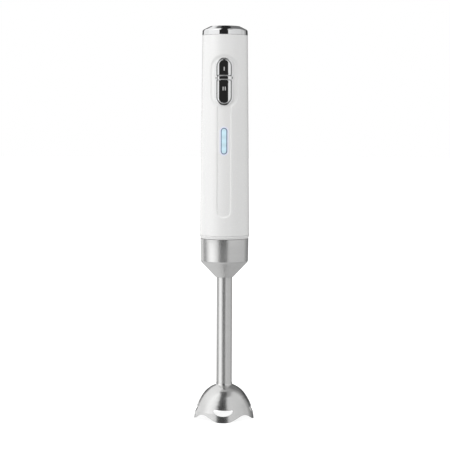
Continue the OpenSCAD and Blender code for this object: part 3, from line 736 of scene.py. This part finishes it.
def bezel_bar():
    """The chrome bar between the buttons, which flares where it meets the frame."""
    half = WINDOW_W / 2
    edge = [(0, None), (0, 0.6), (0.05, 0.3), (0.18, 0.08), (0.4, -0.05), (0.7, -BEZEL_PROUD)]
    loops = []
    for x in [v * (half + 0.35) / 40 for v in range(-40, 41)]:
        over = max(abs(x) - (half - CORNER), 0)
        flare = CORNER - math.sqrt(max(CORNER ** 2 - min(over, CORNER) ** 2, 0))
        loop = [bezel_point(x, BAR_0 - flare + rise_z, depth) for rise_z, depth in edge]
        loop += [bezel_point(x, BAR_1 + flare - rise_z, depth) for rise_z, depth in edge[::-1]]
        loops.append(loop)
    n = len(loops[0])
    faces = [(k * n + i, k * n + (i + 1) % n, (k + 1) * n + (i + 1) % n, (k + 1) * n + i)
             for k in range(len(loops) - 1) for i in range(n)]
    faces += [tuple(range(n)), tuple(range(len(loops) * n - 1, (len(loops) - 1) * n - 1, -1))]
    verts = [point for loop in loops for point in loop]
    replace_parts(build("bezel_bar", verts, faces, "handle", "button_bezel"), "button_bezel")


def window_end(upper):
    """Z of a window's outer end."""
    return BEZEL_Z + WINDOW_H / 2 if upper else BEZEL_Z - WINDOW_H / 2


def button_outline(upper, inset):
    """One window's outline, moved inwards: a half circle at its outer end, two small corners at the bar."""
    radius = WINDOW_W / 2
    bar = BAR_1 if upper else BAR_0
    sign = 1 if upper else -1
    centre = window_end(upper) - sign * radius
    out = [((radius - inset) * math.cos(a), centre + sign * (radius - inset) * math.sin(a))
           for a in [math.pi * k / 36 for k in range(37)]]
    small = max(CORNER - inset, 0.05)
    reach = CORNER if inset < CORNER else inset
    corner_z = bar + sign * reach
    out += [(-radius + inset, centre + (corner_z - centre) * k / 12) for k in range(1, 12)]
    for side in (-1, 1):
        cx = side * (radius - reach)
        arc = [(cx + side * small * math.cos(a), corner_z - sign * small * math.sin(a))
               for a in [math.pi / 2 * k / 8 for k in range(9)]]
        out += arc if side < 0 else arc[::-1]
        if side < 0:
            out += [(-(radius - reach) * (1 - k / 3), bar + sign * inset) for k in range(1, 6)]
    out += [(radius - inset, corner_z + (centre - corner_z) * k / 12) for k in range(1, 12)]
    return out


def button(name, upper, body, node):
    """A glossy key with rounded edges and its one or two upright strokes."""
    gap, limit = 0.3, WINDOW_W / 2 - 0.02
    rim = [(gap, 0.4), (gap, -0.05), (gap + 0.04, -0.2), (gap + 0.14, -0.34), (gap + 0.3, -0.44),
           (gap + 0.52, -0.49)]
    face = [(inset, -KEY_PROUD) for inset in (gap + 0.8, gap + 1.3, 2.4, 3.4, 4.4, 5.4, 6.3, limit)]
    back = [[(x, BACK_Y + 0.1, z) for x, z in button_outline(upper, inset)] for inset in (limit, 3, gap)]
    front = [[on_cone(x, z, depth, -1) for x, z in button_outline(upper, inset)]
             for inset, depth in rim + face]
    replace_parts(ring_piece(name, back + front, body, node), node)
    mark_z = (window_end(upper) + (BAR_1 if upper else BAR_0)) / 2 + (-1.2 if upper else 3.4)
    for k, x in enumerate([0] if upper else [-1.1, 1.1]):
        grid_block(f"{name}_mark_{k + 1}", -1, (x - 0.5, x + 0.5), (mark_z - 1.9, mark_z + 1.9),
                   lambda x, z: -MARK_PROUD, -handle_r(mark_z), body, node, MARK, 4, 8)


def grid_block(name, side, xs, zs, depth, back_y, body, node, material=None, across=30, up=40):
    """A block whose front follows the handle with its own relief, and whose back is flat."""
    spots = [(xs[0] + (xs[1] - xs[0]) * i / across, zs[0] + (zs[1] - zs[0]) * j / up)
             for j in range(up + 1) for i in range(across + 1)]
    verts = [on_cone(x, z, depth(x, z), side) for x, z in spots]
    verts += [(x, back_y, z) for x, z in spots]
    return build(name, verts, block_faces(across + 1, up + 1), body, node, material)


def pad_relief(x, z):
    """The rear button's face: proud of the handle, with a round edge and four grip ribs."""
    inside = -block_distance(x, z, PAD_W, PAD_H, PAD_Z, 1.2)
    ribs = 0.3 * (0.5 - 0.5 * math.cos(2 * math.pi * (z - PAD_Z) / 2.0)) if abs(z - PAD_Z) < 3 else 0
    ribs *= rise(-block_distance(x, z, PAD_W - 3, 6.4, PAD_Z, 0.8), 0, 0.7)
    return -0.8 + edge_round(max(inside, 0), 0.8) + ribs + (0.6 if inside < -0.05 else 0)


def release_pad():
    """The rear button, with a slot in its back that clears the latch ring's ends."""
    xs = (-PAD_W / 2, PAD_W / 2)
    zs = (PAD_Z - PAD_H / 2, PAD_Z + PAD_H / 2)
    piece = grid_block("release_pad", 1, xs, zs, pad_relief, 22.6, "release", "release_button",
                       across=52, up=60)
    latch = (low("latch_ring") + high("latch_ring")) / 2
    slot = [(-6.3, latch - 1.2), (6.3, latch - 1.2), (6.3, latch + 1.2), (-6.3, latch + 1.2)]
    cut(piece, prism(slot, 20, 23.2))
    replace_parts(piece, "release_button")


def lens():
    """The window with the painted glow: a rounded bar of pale acrylic."""
    sunk, limit = CHANNEL_DEPTH - 0.25, LENS_W / 2 - 0.02
    profile = [(0, sunk + 0.9), (0, sunk + 0.35), (0.06, sunk + 0.18), (0.2, sunk + 0.05), (0.45, sunk),
               (1.0, sunk - 0.02), (1.8, sunk - 0.03), (2.6, sunk - 0.03), (limit, sunk - 0.03)]

    def outline(inset):
        return track_outline(LENS_W, LENS_H, LENS_Z, inset, arc=24, sides=12)

    back = [[(x, -20.9, z) for x, z in outline(inset)] for inset in (limit, 0)]
    front = [[on_cone(x, z, depth, -1) for x, z in outline(inset)] for inset, depth in profile]
    piece = ring_piece("lens", back + front, "handle", "indicator_lens", material=LENS)
    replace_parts(piece, "indicator_lens")


# ------------------------------------------------------------------ wand

def coupling():
    """The spun steel shell, its shoulder and its cone."""
    top, bottom = high("coupling_shell"), low("coupling_shell")
    tube = high("wand_tube", 0)
    shoulder = 166
    lathe("coupling_cover", [
        (tube + 0.1, bottom), (9.4, bottom + 0.3, 0.8), (10.3, bottom + 1.3, 1.2),
        (24.1, shoulder - 1, 1.0), (24.7, shoulder + 0.6, 1.2), (25.1, top, 0.25), (24.2, top),
        (23.8, shoulder + 1), (23.3, shoulder - 0.3), (9.5, bottom + 2.5), (tube + 0.1, bottom + 1.4),
    ], "wand", "coupling_shell", sides=256)


# ------------------------------------------------------------------ marks, lens and the painted glow round it

MARK = surface("printed_mark", (0.5, 0.5, 0.5), 0.4, vary=0.03)


LAMP_PITCH = 8.1  # between the three lamps behind the lens


def lens_distance(n):
    """Distance from the lens's centre line, and the height above its middle, in metres."""
    split = n.add("SeparateXYZ")
    n.link(n.add("TexCoord").outputs["Object"], split.inputs[0])
    x, _, z = split.outputs
    height = n.math("SUBTRACT", z, LENS_Z * MM)
    straight = (LENS_H - LENS_W) / 2 * MM
    over = n.math("MAXIMUM", n.math("SUBTRACT", n.math("ABSOLUTE", height), straight), 0.0)
    return n.math("SQRT", n.math("ADD", n.times(x, x), n.times(over, over))), height


def painted_glow_lens():
    """Pale blue, with a painted glow that is brightest over the three lamps behind it, and painted shade
    darkening its rim.
    """
    mat = surface("painted_glow_lens", (0.55, 0.8, 0.95), 0.18, vary=0.02)
    n, shader = open_tree(mat)
    away, height = lens_distance(n)
    # Painted shade: colour and glow darken towards the rim, for the shade of the recess round the lens.
    core_inside_painted_rim = n.fade(away, (LENS_W / 2 - 1.15) * MM, (LENS_W / 2 - 0.35) * MM)
    # Painted glow: the emission rises over each lamp behind the lens and falls between them; lamp holds that
    # painted brightness.
    painted_lamp_wave = n.math("COSINE", n.times(height, 2 * math.pi / (LAMP_PITCH * MM)))
    lamp = n.scaled(painted_lamp_wave, 0.3, 0.8)
    n.link(n.mix_color(core_inside_painted_rim, (0.13, 0.22, 0.38), (0.66, 0.86, 0.95)), shader.inputs["Emission Color"])
    n.link(n.times(n.scaled(core_inside_painted_rim, 0.14, 0.04), lamp), shader.inputs["Emission Strength"])
    n.link(n.mix_color(core_inside_painted_rim, (0.08, 0.12, 0.22), (0.55, 0.74, 0.83)), shader.inputs["Base Color"])
    return mat


def painted_glow_plastic():
    """The white plastic of the front shell, with a painted lavender glow round the lens for the lamps'
    light.
    """
    mat = white_plastic("painted_glow_plastic")
    n, shader = open_tree(mat)
    plain = shader.inputs["Base Color"].links[0].from_socket
    away, _ = lens_distance(n)
    # Painted glow: near the lens the colour turns lavender and the plastic gives off a little light, for the
    # lamps' light spilling round it.
    painted_glow = n.fade(away, (LENS_W / 2 + 0.3) * MM, (LENS_W / 2 + 2.4) * MM)
    mixed = n.add("Mix", data_type="RGBA")
    n.link(painted_glow, mixed.inputs["Factor"])
    n.link(plain, mixed.inputs["A"])
    mixed.inputs["B"].default_value = (0.78, 0.8, 0.93, 1)
    n.link(mixed.outputs["Result"], shader.inputs["Base Color"])
    shader.inputs["Emission Color"].default_value = (0.7, 0.75, 1, 1)
    n.link(n.times(painted_glow, 0.05), shader.inputs["Emission Strength"])
    return mat


LENS = painted_glow_lens()
PAINTED_GLOW_PLASTIC = painted_glow_plastic()

front_shell()
rear_shell()
cap()
base_ring()
bezel_frame()
bezel_bar()
button("speed_key_1", True, "speed_1", "speed_1_button")
button("speed_key_2", False, "speed_2", "speed_2_button")
lens()
release_pad()
coupling()
